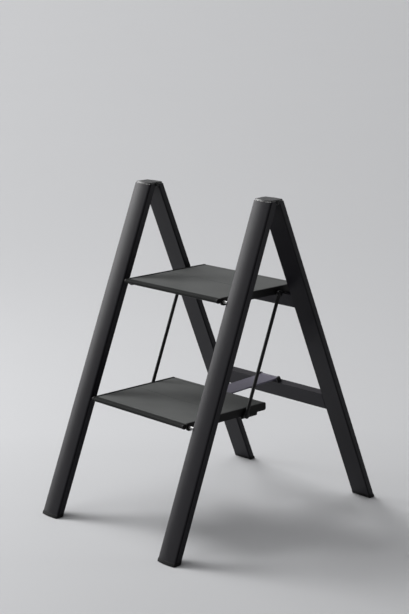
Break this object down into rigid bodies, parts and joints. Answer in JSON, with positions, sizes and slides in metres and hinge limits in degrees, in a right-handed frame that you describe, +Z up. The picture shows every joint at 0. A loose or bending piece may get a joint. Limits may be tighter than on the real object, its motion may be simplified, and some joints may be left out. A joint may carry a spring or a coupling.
{
  "type": "folding two-step stool",
  "caption": "Folding A-frame step stool in black aluminium: leaning rails hinged at the top, flat treads with side bars, side rods and a centre link.",
  "frame": {"origin": "on the floor at the middle of the open base", "axes": "+Z up, -Y is the front where a person climbs, +X is the right side seen from the front"},
  "size_m": [0.49, 0.6764, 0.789],
  "materials": {
    "rail_aluminium": "satin black anodised",
    "tread_aluminium": "satin dark grey anodised, fine ribbing along the tread",
    "black_plastic": "fine moulded texture",
    "black_steel": "black powder coat",
    "bare_steel": "bright zinc plated"
  },
  "bodies": {
    "front_frame": {"front_rail_left": "rail_aluminium", "front_rail_right": "rail_aluminium", "front_foot_left": "black_plastic", "front_foot_right": "black_plastic", "front_hinge_cap_left": "black_plastic", "front_hinge_cap_right": "black_plastic", "hinge_pin_left": "black_steel", "hinge_pin_right": "black_steel", "upper_pivot_shaft": "bare_steel", "lower_pivot_shaft": "bare_steel", "upper_washer_left": "black_plastic", "upper_washer_right": "black_plastic", "lower_washer_left": "black_plastic", "lower_washer_right": "black_plastic"},
    "rear_frame": {"rear_rail_left": "rail_aluminium", "rear_rail_right": "rail_aluminium", "rear_foot_left": "black_plastic", "rear_foot_right": "black_plastic", "rear_hinge_cap_left": "black_plastic", "rear_hinge_cap_right": "black_plastic", "upper_cross_bar": "rail_aluminium", "lower_cross_bar": "rail_aluminium", "link_rear_lug_left": "black_steel", "link_rear_lug_right": "black_steel"},
    "upper_tread": {"upper_tread_panel": "tread_aluminium", "upper_side_bar_left": "black_plastic", "upper_side_bar_right": "black_plastic", "upper_nosing_cap_left": "black_plastic", "upper_nosing_cap_right": "black_plastic", "upper_rod_pin_left": "black_steel", "upper_rod_pin_right": "black_steel"},
    "lower_tread": {"lower_tread_panel": "tread_aluminium", "lower_side_bar_left": "black_plastic", "lower_side_bar_right": "black_plastic", "lower_nosing_cap_left": "black_plastic", "lower_nosing_cap_right": "black_plastic", "lower_rod_pin_left": "black_steel", "lower_rod_pin_right": "black_steel", "link_front_lug_left": "black_steel", "link_front_lug_right": "black_steel", "link_front_pin": "bare_steel"},
    "left_rod": {"side_rod_left": "black_steel"},
    "right_rod": {"side_rod_right": "black_steel"},
    "centre_link": {"centre_link": "rail_aluminium"}
  },
  "joints": [
    {"name": "rear_frame_fold", "type": "hinge", "parent": "front_frame", "child": "rear_frame", "pos_m": [0, 0.0012, 0.782], "axis": [-1, 0, 0], "range_deg": [0, 43.7]},
    {"name": "upper_tread_fold", "type": "hinge", "parent": "front_frame", "child": "upper_tread", "pos_m": [0, -0.101, 0.5575], "axis": [1, 0, 0], "range_deg": [0, 67]},
    {"name": "lower_tread_fold", "type": "hinge", "parent": "front_frame", "child": "lower_tread", "pos_m": [0, -0.21127, 0.2825], "axis": [1, 0, 0], "range_deg": [0, 67]},
    {"name": "left_rod_swing", "type": "hinge", "parent": "upper_tread", "child": "left_rod", "pos_m": [-0.171, 0.072, 0.551], "axis": [1, 0, 0], "range_deg": [-67, 0]},
    {"name": "right_rod_swing", "type": "hinge", "parent": "upper_tread", "child": "right_rod", "pos_m": [0.171, 0.072, 0.551], "axis": [1, 0, 0], "range_deg": [-67, 0]},
    {"name": "centre_link_swing", "type": "hinge", "parent": "lower_tread", "child": "centre_link", "pos_m": [0, 0.00293, 0.2817], "axis": [1, 0, 0], "range_deg": [-177.1, 0]}
  ],
  "couplings": [
    {"joint": "upper_tread_fold", "follows": "rear_frame_fold", "ratio": 1.533},
    {"joint": "lower_tread_fold", "follows": "rear_frame_fold", "ratio": 1.533},
    {"joint": "left_rod_swing", "follows": "rear_frame_fold", "ratio": -1.533},
    {"joint": "right_rod_swing", "follows": "rear_frame_fold", "ratio": -1.533},
    {"joint": "centre_link_swing", "follows": "rear_frame_fold", "ratio": -4.0515}
  ]
}
